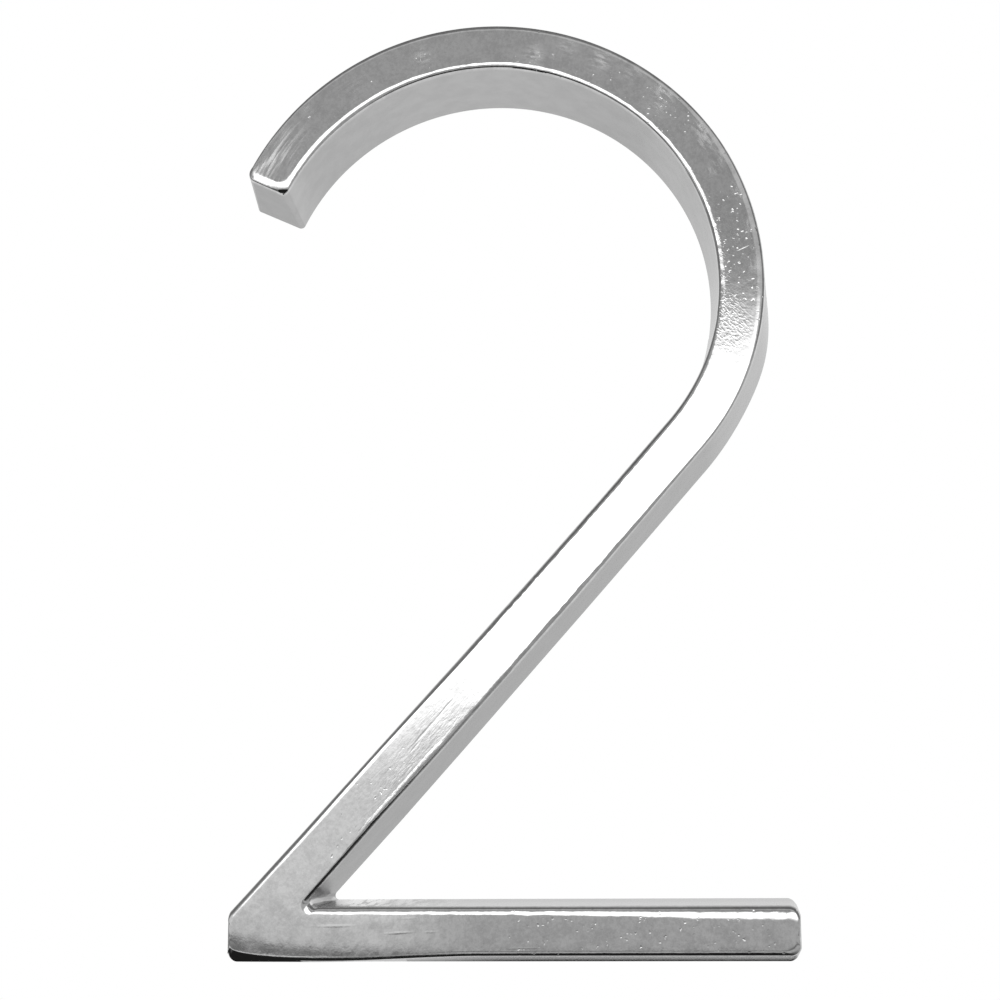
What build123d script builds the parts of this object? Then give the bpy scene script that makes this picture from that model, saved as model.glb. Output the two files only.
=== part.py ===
from build123d import *
from math import cos, degrees, radians, sin, tan
import os

# House number: the figure two, cast in one piece with leaning walls, rounded
# front edges and two blind tapped holes in its flat back. The face looks
# along -Y, the back lies on Y = 0, and +Z is up. The origin is on the back,
# midway between the two tapped holes.

# Whole figure
figure_height = 125.0
figure_depth = 13.0
wall_lean_deg = 3.3

# Face, measured to the walls as if its edges were sharp
face_stroke = 5.8
face_bar = 6.25
face_right_reach = 38.2
left_clip_height = 5.4

# Line of the stroke. Its angles count anticlockwise from +X.
bowl_radius = 33.5
bowl_end_deg = 153.7
shoulder_radius = 30.8
shoulder_start_deg = -9.0
diagonal_lean_deg = 41.75
diagonal_flare_deg = 0.15

# Rounds. The inner corner's is stated on the back, and grows towards the face.
front_edge_round = 0.55
back_edge_break = 0.15
bowl_end_corner = 0.65
bar_end_corner = 1.25
left_corner = 1.0
left_clip_corner = 1.6
inner_corner = 0.65

# Tapped holes for the fixing studs
thread_diameter = 4.0
thread_depth = 8.0
drill_point_deg = 118.0
mouth_countersink = 0.35
drill_overrun = 1.0

# The walls lean outwards towards the back, so the back outline is the face
# outline moved outwards by the run of the lean.
lean_run = figure_depth * tan(radians(wall_lean_deg))

# The lower hole is behind the middle of the base bar, the upper one behind
# the top of the bowl, and the bowl's centre lies on the line between them.
bar_bottom_below_bowl = figure_height - 2 * lean_run - bowl_radius - face_stroke / 2
stud_spacing = bowl_radius + bar_bottom_below_bowl - face_bar / 2
bowl_centre = Vector(0, stud_spacing / 2 - bowl_radius)
bar_bottom = bowl_centre.Y - bar_bottom_below_bowl


def on_circle(centre, radius, angle):
    return centre + Vector(radius * cos(radians(angle)), radius * sin(radians(angle)))


# The shoulder is a tighter round that carries on from the bowl, and each side
# of the diagonal leaves it in a straight line. The left side leans a little
# more, so that the diagonal widens downwards.
shoulder_centre = on_circle(bowl_centre, bowl_radius - shoulder_radius, shoulder_start_deg)
right_lean_deg = diagonal_lean_deg
left_lean_deg = diagonal_lean_deg + diagonal_flare_deg

# The diagonal's left side ends at the clip, which sets the figure's left edge
left_tangent = on_circle(shoulder_centre, shoulder_radius - face_stroke / 2, -left_lean_deg)
left_fall = left_tangent.Y - bar_bottom - left_clip_height
face_left = left_tangent.X - left_fall * tan(radians(left_lean_deg))


# Points of the face outline after it is moved outwards by grow
def outline_points(grow):
    half_stroke = face_stroke / 2 + grow
    end_deg = bowl_end_deg + degrees(grow / bowl_radius)
    bowl_middle_deg = (end_deg + shoulder_start_deg) / 2
    points = {}
    for side, sign, lean in (("right", 1, right_lean_deg), ("left", -1, left_lean_deg)):
        bowl = bowl_radius + sign * half_stroke
        shoulder = shoulder_radius + sign * half_stroke
        points[side + " end"] = on_circle(bowl_centre, bowl, end_deg)
        points[side + " bowl"] = on_circle(bowl_centre, bowl, bowl_middle_deg)
        points[side + " joint"] = on_circle(bowl_centre, bowl, shoulder_start_deg)
        points[side + " shoulder"] = on_circle(shoulder_centre, shoulder, (shoulder_start_deg - lean) / 2)
        points[side + " tangent"] = on_circle(shoulder_centre, shoulder, -lean)

    top = bar_bottom + face_bar + grow
    fall = points["right tangent"].Y - top
    points["inner corner"] = Vector(points["right tangent"].X - fall * tan(radians(right_lean_deg)), top)
    points["top right"] = Vector(face_right_reach + grow, top)
    points["bottom right"] = Vector(face_right_reach + grow, bar_bottom - grow)
    points["bottom left"] = Vector(face_left - grow, bar_bottom - grow)
    rise = (points["left tangent"].X - face_left + grow) / tan(radians(left_lean_deg))
    points["left clip"] = Vector(face_left - grow, points["left tangent"].Y - rise)
    return points


# Cutter for one stud hole: countersunk mouth, bore and drill point
thread_radius = thread_diameter / 2
mouth_radius = thread_radius + mouth_countersink
drill_point = thread_radius / tan(radians(drill_point_deg / 2))
with BuildPart(mode=Mode.PRIVATE) as stud_drill:
    with BuildSketch(Plane.XY):
        with BuildLine():
            Polyline(
                (0, drill_overrun),
                (mouth_radius, drill_overrun),
                (mouth_radius, 0),
                (thread_radius, -mouth_countersink),
                (thread_radius, -thread_depth),
                (0, -thread_depth - drill_point),
                close=True,
            )
        make_face()
    revolve(axis=Axis.Y)

# The casting, from the small break round its ground back to its face
back_break = (0, lean_run - back_edge_break)
back_rim = (back_edge_break, lean_run)
face = (figure_depth, 0)
with BuildPart() as figure_two:
    for height, grow in (back_break, back_rim, face):
        point = outline_points(grow)
        with BuildSketch(Plane.XZ.offset(height)) as outline:
            with BuildLine():
                ThreePointArc(point["right end"], point["right bowl"], point["right joint"])
                ThreePointArc(point["right joint"], point["right shoulder"], point["right tangent"])
                Polyline(
                    point["right tangent"],
                    point["inner corner"],
                    point["top right"],
                    point["bottom right"],
                    point["bottom left"],
                    point["left clip"],
                    point["left tangent"],
                )
                ThreePointArc(point["left tangent"], point["left shoulder"], point["left joint"])
                ThreePointArc(point["left joint"], point["left bowl"], point["left end"])
                Line(point["left end"], point["right end"])
            make_face()
            for name, radius in (
                ("right end", bowl_end_corner),
                ("left end", bowl_end_corner),
                ("inner corner", inner_corner + lean_run - grow),
                ("top right", bar_end_corner),
                ("bottom right", bar_end_corner),
                ("bottom left", left_corner),
                ("left clip", left_clip_corner),
            ):
                corner = outline.vertices().sort_by_distance(point[name])[0]
                fillet(corner, radius=radius)
    loft(ruled=True)

    # Polishing has rounded the edge between the face and the walls
    fillet(figure_two.faces().sort_by(Axis.Y)[0].edges(), radius=front_edge_round)

    # One tapped hole behind the top of the bowl and one behind the base bar
    with Locations((0, 0, stud_spacing / 2), (0, 0, -stud_spacing / 2)):
        add(stud_drill.part, mode=Mode.SUBTRACT)

figure_two.part.label = "figure_two"

box = figure_two.part.bounding_box()
print(f"size {box.size.X:.2f} x {box.size.Y:.2f} x {box.size.Z:.2f}, volume {figure_two.part.volume:.0f}")
print(f"x {box.min.X:.2f} to {box.max.X:.2f}, z {box.min.Z:.2f} to {box.max.Z:.2f}")
print(f"stud spacing {stud_spacing:.3f}, run of the lean {lean_run:.3f}, bowl centre z {bowl_centre.Y:.3f}")
print(f"face left edge {face_left:.3f}, base bar bottom {bar_bottom:.3f}")

os.makedirs("parts", exist_ok=True)
export_step(figure_two.part, "parts/figure_two.step")
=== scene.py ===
import math

import bpy
import numpy
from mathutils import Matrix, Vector, noise
from mathutils.geometry import delaunay_2d_cdt


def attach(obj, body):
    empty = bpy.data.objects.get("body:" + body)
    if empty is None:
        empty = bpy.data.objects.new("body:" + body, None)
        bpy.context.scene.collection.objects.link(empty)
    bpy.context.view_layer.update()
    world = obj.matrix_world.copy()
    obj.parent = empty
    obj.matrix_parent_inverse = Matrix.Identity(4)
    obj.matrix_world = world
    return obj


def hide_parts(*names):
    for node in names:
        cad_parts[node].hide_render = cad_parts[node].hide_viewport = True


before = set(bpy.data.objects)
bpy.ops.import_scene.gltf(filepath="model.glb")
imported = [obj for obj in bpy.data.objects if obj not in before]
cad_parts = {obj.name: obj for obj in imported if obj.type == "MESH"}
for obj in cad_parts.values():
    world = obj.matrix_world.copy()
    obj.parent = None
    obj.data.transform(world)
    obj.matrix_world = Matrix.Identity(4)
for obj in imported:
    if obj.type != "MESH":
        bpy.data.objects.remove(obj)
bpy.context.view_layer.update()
scene = bpy.context.scene
scene.view_settings.view_transform = "Standard"
mm = 0.001

print("stage: camera")
camera = {
    "place": (19.42, -247.16, -48.19),  # mm, a little right of the middle and low
    "turn": (100.672, 0.292, 4.412),  # degrees
    "lens": 66.6,
}
lens = bpy.data.cameras.new("photoCamera")
lens.lens = camera["lens"]
lens.clip_start = 0.01
photoCamera = bpy.data.objects.new("photoCamera", lens)
photoCamera.location = Vector(camera["place"]) * mm
photoCamera.rotation_euler = [math.radians(turn) for turn in camera["turn"]]
scene.collection.objects.link(photoCamera)
scene.camera = photoCamera


# A socket to calculate with: every sum, product or method adds its own node
class Wire:
    def __init__(self, tree, socket):
        self.tree = tree
        self.socket = socket

    def calc(self, operation, *others):
        return calc(self.tree, operation, self, *others)

    # A smooth step from one place to the next, which may lie either way round
    def spread(self, here, there, start=0.0, end=1.0):
        inputs = {"Value": self, "From Min": here, "From Max": there, "To Min": start, "To Max": end}
        return wire(self.tree, "ShaderNodeMapRange", inputs, interpolation_type="SMOOTHSTEP")

    def __add__(self, other):
        return self.calc("ADD", other)

    def __sub__(self, other):
        return self.calc("SUBTRACT", other)

    def __rsub__(self, other):
        return calc(self.tree, "SUBTRACT", other, self)

    def __mul__(self, other):
        return self.calc("MULTIPLY", other)

    def __truediv__(self, other):
        return self.calc("DIVIDE", other)

    __radd__ = __add__
    __rmul__ = __mul__


# Short ways to build node trees
def plug(tree, value, socket):
    if isinstance(value, Wire):
        tree.links.new(value.socket, socket)
    else:
        socket.default_value = value


def addNode(tree, kind, inputs=None, **settings):
    node = tree.nodes.new(kind)
    for name, value in settings.items():
        setattr(node, name, value)
    for name, value in (inputs or {}).items():
        plug(tree, value, node.inputs[name])
    return node


def wire(tree, kind, inputs=None, output=0, **settings):
    return Wire(tree, addNode(tree, kind, inputs, **settings).outputs[output])


def wires(tree, kind, inputs=None, **settings):
    return {socket.name: Wire(tree, socket) for socket in addNode(tree, kind, inputs, **settings).outputs}


def calc(tree, operation, *values):
    return wire(tree, "ShaderNodeMath", dict(enumerate(values)), operation=operation)


def partsOf(vector):
    return wires(vector.tree, "ShaderNodeSeparateXYZ", {"Vector": vector}).values()


def blend(tree, factor, first, second, mode="MIX"):
    return wire(tree, "ShaderNodeMix", {0: factor, 6: first, 7: second}, 2, data_type="RGBA", blend_type=mode)


def towards(start, share, goal):
    return share * (goal - start) + start


def grey(level):
    return (level, level, level, 1.0)


print("stage: outlines")
# Sizes of the figure in mm, as the CAD has them
figure = {
    "depth": 13.0,
    "leanRun": 0.7496,  # how far the walls spread from face to back
    "backBreak": 0.15,
    "stroke": 5.8,
    "bar": 6.25,
    "rightReach": 38.2,
    "leftEdge": -32.776,
    "barBottom": -61.863,
    "bowlRadius": 33.5,
    "bowlEnd": 153.7,  # degrees
    "bowlHeight": 25.238,
    "shoulderRadius": 30.8,
    "shoulderStart": -9.0,
    "rightLean": 41.75,
    "leftLean": 41.9,
    "studSpacing": 117.476,
}
wallCorners = {
    "outerEnd": 1.2, "innerEnd": 0.65, "inner": 1.05, "topRight": 1.25, "bottomRight": 1.25,
    "bottomLeft": 1.0, "clip": 1.6,
}
rimCorners = dict(wallCorners, outerEnd=0.5, inner=0.65)
# The polished face: how far its edge lies inside the walls, and its own corners
faceInset = {
    "outer": 0.45, "barTop": 0.87, "barEnd": 0.5, "barBottom": 0.75, "clip": 0.35, "inner": 0.6,
    "cap": 1.05,
}
faceCorners = {
    "outerEnd": 0.9, "innerEnd": 1.5, "inner": 1.2, "topRight": 1.9, "bottomRight": 1.7,
    "bottomLeft": 0.5, "clip": 1.8,
}
# The runs of the outline, clockwise as seen from the front. Every list is spread evenly
# along its run: radius of the tight round, angle of the gentle roll in degrees, how far
# the polish reaches further into the face, how far the walls stand out at the front
# and at the back, all in mm, and how much the polish wanders. A list left out is 0.
runs = {
    "bowlOuter": dict(
        count=220, round=[0.32], roll=[12], reach=[0, 0.25, 0.3, 0.3, 0.35, 0.5, 0.6, 0.6],
        front=[-0.22, -0.08, 0, 0, 0, 0, 0.05, 0, 0], wander=[0.03],
    ),
    "shoulderOuter": dict(
        count=42, round=[0.32], roll=[12, 8], reach=[0.6, 0.2, 0], back=[0, 0.1], wander=[0.01],
    ),
    "diagonalRight": dict(
        count=170, round=[0.30, 0.60, 0.85, 0.80, 0.55, 0.34, 0.34], roll=[8, 3, 3, 3, 6, 10, 12],
        reach=[0, -0.18, -0.2, -0.2, -0.05, 0.12, 0], front=[0, 0.28, 0.45, 0.42, 0.3, 0.05, 0],
        back=[0.1, 0.2, 0.25, 0.25, 0.25, 0.2, 0], wander=[0.03, 0.04, 0.05, 0.05, 0.04, 0.03, 0.02],
    ),
    "innerCorner": dict(
        count=24, round=[0.34, 0.7, 0.95, 0.85, 0.62], roll=[12, 15], reach=[0, -0.12, -0.22],
        front=[0, 0.38], back=[0, 0.2],
    ),
    "barTop": dict(
        count=150, round=[0.62, 0.66, 0.72, 0.8, 0.8], roll=[15, 14.5, 13.5, 12.5, 12, 12],
        reach=[-0.22, -0.18, -0.12, -0.02, 0.2, 0.55, 0.78], front=[0.38], back=[0.2],
        wander=[0.04, 0.05, 0.06],
    ),
    "topRight": dict(
        count=24, round=[0.8, 0.5], roll=[12, 8], reach=[0.78, 0.35, 0.1], front=[0.38, 0.05],
        back=[0.2, 0, 0],
    ),
    "barEnd": dict(count=12, round=[0.5], roll=[8], reach=[0.1], front=[0.05]),
    "bottomRight": dict(count=20, round=[0.5, 0.3], roll=[8, 5], reach=[0.1, 0], front=[0.05, 0]),
    "barBottom": dict(
        count=150, round=[0.36, 0.36, 0.34, 0.3, 0.3, 0.3], roll=[5],
        reach=[0, 0, 0, 0, 0, -0.1, -0.2, -0.25], front=[0, 0, 0, 0, 0, 0.03, 0.06, 0.02], wander=[0.015],
    ),
    "bottomLeft": dict(
        count=16, round=[1.7, 1.5, 0.7], roll=[5], reach=[-0.25, -0.15], front=[0.02, 0.05],
    ),
    "clip": dict(count=14, round=[0.3], roll=[6, 14], reach=[-0.1, 0], front=[0.1], wander=[0.01]),
    "leftClip": dict(count=14, round=[0.3, 0.4], roll=[14, 12], front=[0.1, 0.33], back=[0, 0, 0.1, 0.2]),
    "diagonalLeft": dict(
        count=200, round=[0.4, 0.45, 0.5, 0.7, 0.8, 0.8, 0.65], roll=[12, 12, 8, 4, 3, 3, 6],
        reach=[0, 0.22, 0.25, 0.3, 0.35, 0.35, 0.15], front=[0.33, 0.12, 0, -0.15, -0.22, -0.22, -0.05],
        back=[0.2, 0.1, 0, -0.15, -0.22, -0.22, -0.05], wander=[0.02, 0.02, 0.03, 0.04, 0.05, 0.04, 0.03],
    ),
    "shoulderInner": dict(
        count=44, round=[0.65, 0.45, 0.3], roll=[6, 10, 12], reach=[0.15, 0.1], front=[-0.05, 0.05],
        back=[-0.05, 0.05], wander=[0.05],
    ),
    "bowlInner": dict(
        count=200, round=[0.3, 0.4, 0.55, 0.52, 0.42, 0.42, 0.46, 0.32],
        roll=[16, 17, 13, 12, 12, 12, 12, 12], reach=[0.15, 0.02, -0.08, -0.13, 0.08, -0.1, -0.14, -0.09],
        front=[0.08, 0.24, 0.24, 0.3, 0.15, 0.34, 0.48, 0.4],
        wander=[0.07, 0.08, 0.06, 0.05, 0.05, 0.04, 0.04, 0.02],
    ),
    "innerEnd": dict(count=30, round=[0.3, 0.6, 0.9, 0.95, 0.75], roll=[12], front=[0.38, 0.3]),
    "cap": dict(count=26, round=[0.75, 0.45, 0.3, 0.3, 0.34], roll=[12], front=[0.3], wander=[0.01]),
    "outerEnd": dict(count=24, round=[0.34], roll=[12], front=[0.3, -0.22]),
}


def polar(centre, radius, degrees):
    angle = math.radians(degrees)
    return centre + Vector((radius * math.cos(angle), radius * math.sin(angle)))


def angleOf(arm):
    return math.degrees(math.atan2(arm.y, arm.x))


bowlCentre = Vector((0.0, figure["bowlHeight"]))
shoulderShift = figure["bowlRadius"] - figure["shoulderRadius"]
shoulderCentre = polar(bowlCentre, shoulderShift, figure["shoulderStart"])


def arcPoints(centre, radius, start, end, count):
    return [polar(centre, radius, start + (end - start) * k / count) for k in range(count)]


def linePoints(start, end, count):
    return [start.lerp(end, k / count) for k in range(count)]


def crossing(pointA, alongA, pointB, alongB):
    gap = pointB - pointA
    scale = (gap.x * alongB.y - gap.y * alongB.x) / (alongA.x * alongB.y - alongA.y * alongB.x)
    return pointA + alongA * scale


def cornerPoints(corner, alongIn, alongOut, radius, count):
    turn = math.atan2(alongIn.x * alongOut.y - alongIn.y * alongOut.x, alongIn.dot(alongOut))
    start = corner - alongIn * radius * math.tan(abs(turn) / 2)
    centre = start + Vector((-alongIn.y, alongIn.x)) * math.copysign(radius, turn)
    first = angleOf(start - centre)
    last = first + math.degrees(turn)
    return arcPoints(centre, radius, first, last, count) + [polar(centre, radius, last)]


# The figure's outline as named runs of points, clockwise as seen from the front.
# grow moves each side outwards, and every run keeps its number of points.
def outlineRuns(grow, corner):
    count = {name: run["count"] for name, run in runs.items()}
    halfOuter = figure["stroke"] / 2 + grow["outer"]
    halfInner = figure["stroke"] / 2 + grow["inner"]
    capAngle = figure["bowlEnd"] + math.degrees(grow["cap"] / figure["bowlRadius"])
    outer = figure["bowlRadius"] + halfOuter
    inner = figure["bowlRadius"] - halfInner
    outerShoulder = figure["shoulderRadius"] + halfOuter
    innerShoulder = figure["shoulderRadius"] - halfInner
    outerBack = capAngle - math.degrees(math.asin(corner["outerEnd"] / (outer - corner["outerEnd"])))
    innerBack = capAngle - math.degrees(math.asin(corner["innerEnd"] / (inner + corner["innerEnd"])))
    join = figure["shoulderStart"]
    rightLean, leftLean = figure["rightLean"], figure["leftLean"]

    down = polar(Vector((0, 0)), -1.0, 90 - rightLean)
    up = polar(Vector((0, 0)), 1.0, 90 - leftLean)
    east, west = Vector((1, 0)), Vector((-1, 0))
    north, south = Vector((0, 1)), Vector((0, -1))
    top = figure["barBottom"] + figure["bar"] + grow["barTop"]
    bottom = figure["barBottom"] - grow["barBottom"]
    right = figure["rightReach"] + grow["barEnd"]
    left = figure["leftEdge"] - grow["clip"]
    rightTangent = polar(shoulderCentre, outerShoulder, -rightLean)
    leftTangent = polar(shoulderCentre, innerShoulder, -leftLean)
    innerCorner = crossing(rightTangent, down, Vector((0, top)), east)
    clipCorner = crossing(Vector((left, 0)), north, leftTangent, up)

    corners = {
        "innerCorner": (innerCorner, down, east, corner["inner"]),
        "topRight": (Vector((right, top)), east, south, corner["topRight"]),
        "bottomRight": (Vector((right, bottom)), south, west, corner["bottomRight"]),
        "bottomLeft": (Vector((left, bottom)), west, north, corner["bottomLeft"]),
        "leftClip": (clipCorner, north, up, corner["clip"]),
    }
    turns = {name: cornerPoints(*turn, count[name]) for name, turn in corners.items()}
    innerEndCentre = polar(bowlCentre, inner + corner["innerEnd"], innerBack)
    outerEndCentre = polar(bowlCentre, outer - corner["outerEnd"], outerBack)
    capStart = polar(innerEndCentre, corner["innerEnd"], capAngle + 90)
    capEnd = polar(outerEndCentre, corner["outerEnd"], capAngle + 90)
    arcs = {
        "bowlOuter": (bowlCentre, outer, outerBack, join),
        "shoulderOuter": (shoulderCentre, outerShoulder, join, -rightLean),
        "shoulderInner": (shoulderCentre, innerShoulder, -leftLean, join),
        "bowlInner": (bowlCentre, inner, join, innerBack),
        "innerEnd": (innerEndCentre, corner["innerEnd"], innerBack + 180, capAngle + 90),
        "outerEnd": (outerEndCentre, corner["outerEnd"], capAngle + 90, outerBack),
    }
    lines = {
        "diagonalRight": (rightTangent, turns["innerCorner"][0]),
        "barTop": (turns["innerCorner"][-1], turns["topRight"][0]),
        "barEnd": (turns["topRight"][-1], turns["bottomRight"][0]),
        "barBottom": (turns["bottomRight"][-1], turns["bottomLeft"][0]),
        "clip": (turns["bottomLeft"][-1], turns["leftClip"][0]),
        "diagonalLeft": (turns["leftClip"][-1], leftTangent),
        "cap": (capStart, capEnd),
    }
    shape = {name: points[:-1] for name, points in turns.items()}
    shape.update({name: arcPoints(*arc, count[name]) for name, arc in arcs.items()})
    shape.update({name: linePoints(*line, count[name]) for name, line in lines.items()})
    return [point for name in runs for point in shape[name]]


sharpFace = outlineRuns(dict.fromkeys(faceInset, 0.0), wallCorners)
rim = outlineRuns(dict.fromkeys(faceInset, figure["leanRun"]), rimCorners)
face = outlineRuns({side: -inset for side, inset in faceInset.items()}, faceCorners)
runNames = [name for name, run in runs.items() for k in range(run["count"])]


# One value of a named list for each point of the outline
def alongRuns(key):
    values = []
    for run in runs.values():
        marks = run.get(key, [0])
        spots = numpy.linspace(0, 1, len(marks))
        values += list(numpy.interp(numpy.arange(run["count"]) / run["count"], spots, marks))
    return values


def outwardNormals(outline):
    normals = []
    for k in range(len(outline)):
        step = outline[(k + 1) % len(outline)] - outline[k - 1]
        normals.append(Vector((-step.y, step.x)).normalized())
    return normals


def ease(value, start, end):
    share = min(1.0, max(0.0, (value - start) / (end - start)))
    return share * share * (3 - 2 * share)


# Handwork on the casting, in mm: the base bar's underside was dressed to a steeper
# draft, the bowl's right side stands out at the back, and the polish has eaten into
# the lower left corner
handwork = {
    "underside": {"amount": 0.58, "height": 4.0, "from": -21.0, "to": -1.0},
    "bowlFlare": {"amount": 0.75, "middle": -10, "spread": 13, "lowest": -20},  # the angles in degrees
    "bottomLeft": {"amount": 1.25, "round": 1.4, "fade": 4.0},
}
underside, bowlFlare, wedge = handwork.values()


def nearUnderside(point):
    return ease(figure["barBottom"] + underside["height"] - point.y, 0.0, underside["height"])


def undersideShift(point):
    along = ease(point.x, underside["from"], underside["to"])
    return Vector((0, underside["amount"] * nearUnderside(point) * along))


def wedgeFade(point):
    return math.exp((figure["leftEdge"] - point.x) / wedge["fade"])


def polishWander(point):
    coarse = noise.noise(Vector((point.x, point.y, 3.0)) / 1.3)
    return 2.0 * coarse + 1.6 * noise.noise(Vector((point.x, point.y, 9.0)) / 0.45)


tightRounds = alongRuns("round")
rollAngles = [math.radians(angle) for angle in alongRuns("roll")]
inwards = [-normal for normal in outwardNormals(face)]
for k, (reach, wander) in enumerate(zip(alongRuns("reach"), alongRuns("wander"))):
    point = face[k]
    eaten = Vector((0, nearUnderside(point) * wedge["amount"] * wedgeFade(point)))
    face[k] = point + inwards[k] * (reach + wander * polishWander(point)) + eaten + undersideShift(point)
for k, (point, normal, front) in enumerate(zip(sharpFace, outwardNormals(sharpFace), alongRuns("front"))):
    sharpFace[k] = point + normal * front + undersideShift(point)
    if runNames[k] == "barBottom":  # the big round at the lower left fades along the bar
        tightRounds[k] += wedge["round"] * wedgeFade(point)
for k, (point, normal, back) in enumerate(zip(rim, outwardNormals(rim), alongRuns("back"))):
    flare = 0.0
    if runNames[k] in ("bowlOuter", "shoulderOuter", "diagonalRight") and point.y > bowlFlare["lowest"]:
        aside = (angleOf(point - bowlCentre) - bowlFlare["middle"]) / bowlFlare["spread"]
        flare = bowlFlare["amount"] * math.exp(-aside ** 2)
    rim[k] = point + normal * (back + flare)


# Fills an outline with triangles, with points inside it for the wear masks
def fillOutline(points, pitch, holes=()):
    ring = numpy.array([tuple(point) for point in points])
    least, most = ring.min(0), ring.max(0)
    across = numpy.arange(least[0], most[0], pitch)
    upward = numpy.arange(least[1], most[1], pitch * 0.866)  # rows of even triangles
    seeds = numpy.array([(x + (row % 2) * pitch / 2, z) for row, z in enumerate(upward) for x in across])
    inside = numpy.zeros(len(seeds), bool)
    for a, b in zip(ring, numpy.roll(ring, -1, axis=0)):
        spans = (a[1] > seeds[:, 1]) != (b[1] > seeds[:, 1])
        with numpy.errstate(divide="ignore", invalid="ignore"):
            cut = a[0] + (b[0] - a[0]) * (seeds[:, 1] - a[1]) / (b[1] - a[1])
        inside ^= spans & (seeds[:, 0] < cut)
    seeds = seeds[inside]
    fences = [ring] + [numpy.array(hole) for hole in holes]
    for fence in fences:
        gap = numpy.sqrt(((seeds[:, None, :] - fence[None, :, :]) ** 2).sum(2)).min(1)
        seeds = seeds[gap > pitch * 0.6]
    circles = [(fence.mean(0), numpy.hypot(*(fence[0] - fence.mean(0)))) for fence in fences[1:]]
    for middle, radius in circles:
        seeds = seeds[numpy.hypot(*(seeds - middle).T) > radius]
    corners, edges = [], []
    for fence in fences:
        first = len(corners)
        corners += [Vector(point) for point in fence]
        edges += [(first + k, first + (k + 1) % len(fence)) for k in range(len(fence))]
    fixed = len(corners)
    corners += [Vector(point) for point in seeds]
    places, _, faces, sources, _, _ = delaunay_2d_cdt(corners, edges, [], 1, 1e-7)
    kept = []
    for triangle in faces:
        centre = numpy.mean([places[k] for k in triangle], axis=0)
        if all(numpy.hypot(*(centre - middle)) > radius * 0.999 for middle, radius in circles):
            kept.append(triangle)
    return places, kept, [source[0] for source in sources], fixed


# The tapped holes, in mm, and how finely they are cut, by the names of their sockets
bore = {
    "Radius": 2.0,
    "Countersink": 0.35,
    "Depth": 8.0,
    "Drill Point": 1.2,
    "Thread Pitch": 0.7,
    "Thread Ridge": 0.33,
}
boreSteps = {"Segments": 40, "Rows": 78}
studs = [Vector((0, figure["studSpacing"] / 2)), Vector((0, -figure["studSpacing"] / 2))]
mouthRadius = bore["Radius"] + bore["Countersink"]
mouths = [arcPoints(stud, mouthRadius, 0, 360, boreSteps["Segments"]) for stud in studs]
backShare = 1 - figure["backBreak"] / figure["leanRun"]
ground = [a.lerp(b, backShare) for a, b in zip(sharpFace, rim)]

# Wear masks, as spots of (x, z, radius in mm, amount), read off the face
wear = {
    "pits": [
        (24, 49, 3.5, 0.8), (27, 46, 3, 0.5), (34, 31, 3.5, 0.9), (31, 36, 3, 0.8), (32, 27, 4, 1.0),
        (33, 22, 3, 0.8), (7, 57, 2.2, 1.0), (14, 53, 2.5, 0.7), (-8.5, 57, 1.5, 1.0),
        (-24.3, 51, 1.2, 0.9), (-17.5, 54, 1.5, 0.4), (5, -59, 3, 0.8), (12, -58, 3, 0.8),
        (18, -59, 3, 0.8), (24, -58, 3, 0.8), (31, -59.3, 2.5, 1.0), (35, -59.8, 2, 1.0),
        (-13, -41, 3, 0.7), (-11, -38, 2, 0.7), (-18, -46, 2, 0.4), (-20, -49, 1.5, 0.5),
    ],
    "streaks": [
        (-9, -40, 4.5, 1.0), (-4, -33, 4.5, 0.8), (-15, -45, 4.0, 0.7), (-22, -52, 6, 0.3),
    ],
    "brush": [
        (-30.2, 42.4, 2.4, 1.0), (-28.6, 44.6, 2.4, 0.8), (-26.4, 47.2, 2.4, 0.5), (-18, 53.2, 2.5, 0.25),
    ],
    "grit": [
        (24.3, 44.7, 0.8, 0.3), (27.0, 40, 0.9, 0.5), (29.0, 35.8, 0.9, 0.6), (30.2, 31.8, 1.0, 0.7),
        (30.6, 28.5, 1.0, 0.7), (30.8, 25, 0.9, 0.8), (31.2, 22, 1.2, 0.9), (33.2, 30, 1.2, 0.25),
        (31.6, 19.8, 1.7, 1.0), (33.0, 18.4, 1.2, 0.8), (31.4, 17.0, 1.5, 1.0), (-1, 55.9, 1.2, 0.5),
    ],
    "haze": [
        (6.6, 57.1, 1.4, 0.9), (11, 58.2, 1.6, 0.6), (15.4, 56.2, 1.6, 0.9), (20, 54.3, 1.6, 0.6),
        (24.2, 51.4, 1.6, 1.0), (22.6, 48.7, 1.2, 0.8), (28.9, 46.2, 1.5, 1.0), (29.4, 44.0, 1.2, 0.7),
        (31.9, 42.4, 1.4, 0.8), (30, 40, 1.2, 0.5), (34.2, 37.4, 1.5, 0.8), (35.4, 32, 1.3, 0.7),
        (35.8, 27, 1.2, 0.5), (-30, 43, 2.5, 0.3), (-8.6, 57.4, 1.2, 0.7), (-24.3, 51, 1.0, 0.6),
        (-13, -60.4, 6, 0.3),
    ],
}


def wearAt(kind, place):
    total = 0.0
    for x, z, radius, amount in wear[kind]:
        total += amount * math.exp(-((place.x - x) ** 2 + (place.y - z) ** 2) / radius ** 2)
    return min(1.0, total)


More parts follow.
